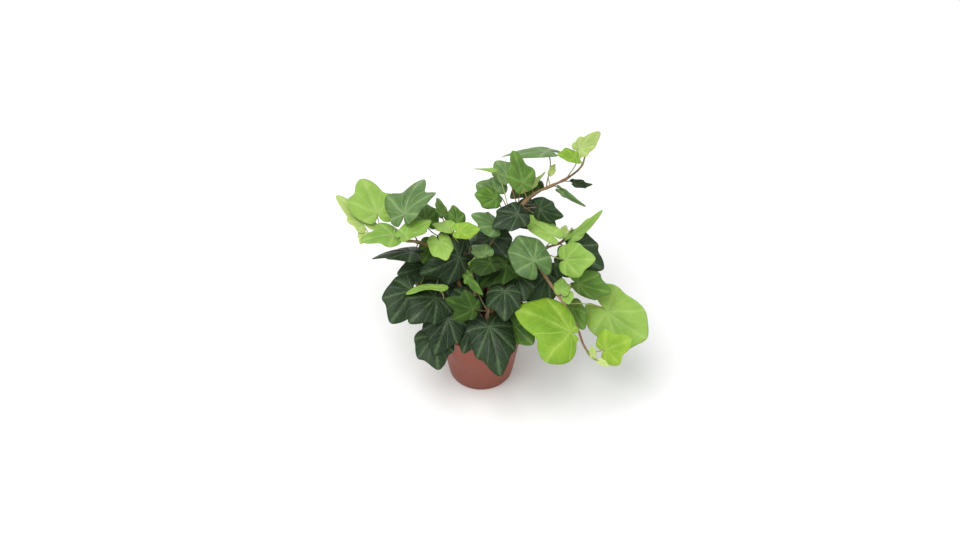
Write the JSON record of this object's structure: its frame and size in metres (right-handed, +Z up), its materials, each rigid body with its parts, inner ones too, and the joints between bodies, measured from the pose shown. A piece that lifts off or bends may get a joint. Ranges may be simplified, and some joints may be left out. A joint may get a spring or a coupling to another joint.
{
  "type": "potted ivy",
  "caption": "Young ivy with trailing and upright vines of lobed leaves, rooted in soil in a round tapered plastic nursery pot.",
  "frame": {"origin": "middle of the pot's flat underside", "axes": "+Z up; -Y is the plant's front, +X its right as seen from the front, and the longest way across the foliage"},
  "size_m": [0.3485, 0.2584, 0.2515],
  "materials": {
    "pot_plastic": "terracotta-coloured moulded plastic with a soft sheen",
    "potting_soil": "damp dark bark and peat crumbs, fully matt",
    "vine_bark": "tan to red-brown young bark, matt",
    "leaf_dark": "mature leaf, dark green with pale veins and a waxy sheen",
    "leaf_green": "middle-aged leaf, mid green with pale veins and a waxy sheen",
    "leaf_grey": "mature leaf turned to the light, grey-green with pale veins and a waxy sheen",
    "leaf_olive": "half-grown leaf, olive green with faint veins",
    "leaf_bright": "young leaf, bright yellow-green with paler veins",
    "leaf_lime": "young leaf in full light, vivid lime green with paler veins",
    "leaf_pale": "newest leaf at a shoot's tip, pale yellow-green"
  },
  "bodies": {
    "root": {"pot": "pot_plastic", "soil": "potting_soil", "left_vine": "vine_bark", "crown_vine": "vine_bark", "low_left_vine": "vine_bark", "front_vine": "vine_bark", "right_vine": "vine_bark", "middle_right_vine": "vine_bark", "low_right_vine": "vine_bark", "back_right_vine": "vine_bark", "rear_vine": "vine_bark", "left_leaf_1": "leaf_pale", "left_leaf_2": "leaf_bright", "left_leaf_3": "leaf_grey", "left_leaf_4": "leaf_bright", "left_leaf_5": "leaf_bright", "left_leaf_6": "leaf_dark", "crown_leaf_1": "leaf_green", "crown_leaf_2": "leaf_green", "crown_leaf_3": "leaf_lime", "crown_leaf_4": "leaf_grey", "crown_leaf_5": "leaf_dark", "crown_leaf_6": "leaf_dark", "low_left_leaf_1": "leaf_dark", "low_left_leaf_2": "leaf_dark", "low_left_leaf_3": "leaf_dark", "low_left_leaf_4": "leaf_dark", "low_left_leaf_5": "leaf_dark", "front_leaf_1": "leaf_olive", "front_leaf_2": "leaf_dark", "front_leaf_4": "leaf_green", "front_leaf_3": "leaf_dark", "right_leaf_1": "leaf_grey", "right_leaf_2": "leaf_olive", "right_leaf_3": "leaf_lime", "right_leaf_4": "leaf_bright", "right_leaf_5": "leaf_lime", "right_leaf_6": "leaf_green", "middle_right_leaf_1": "leaf_bright", "middle_right_leaf_2": "leaf_bright", "middle_right_leaf_3": "leaf_bright", "middle_right_leaf_4": "leaf_dark", "low_right_leaf_1": "leaf_green", "low_right_leaf_3": "leaf_dark", "low_right_leaf_2": "leaf_green", "back_right_leaf_1": "leaf_grey", "back_right_leaf_2": "leaf_grey", "back_right_leaf_3": "leaf_green", "back_right_leaf_4": "leaf_green", "back_right_leaf_5": "leaf_grey", "back_right_leaf_6": "leaf_lime", "back_right_leaf_7": "leaf_pale", "back_right_leaf_8": "leaf_grey", "back_right_leaf_9": "leaf_dark", "rear_leaf_1": "leaf_dark", "rear_leaf_2": "leaf_dark", "rear_leaf_3": "leaf_dark", "rear_leaf_4": "leaf_green", "rear_leaf_5": "leaf_dark", "rear_leaf_6": "leaf_dark"}
  },
  "joints": []
}
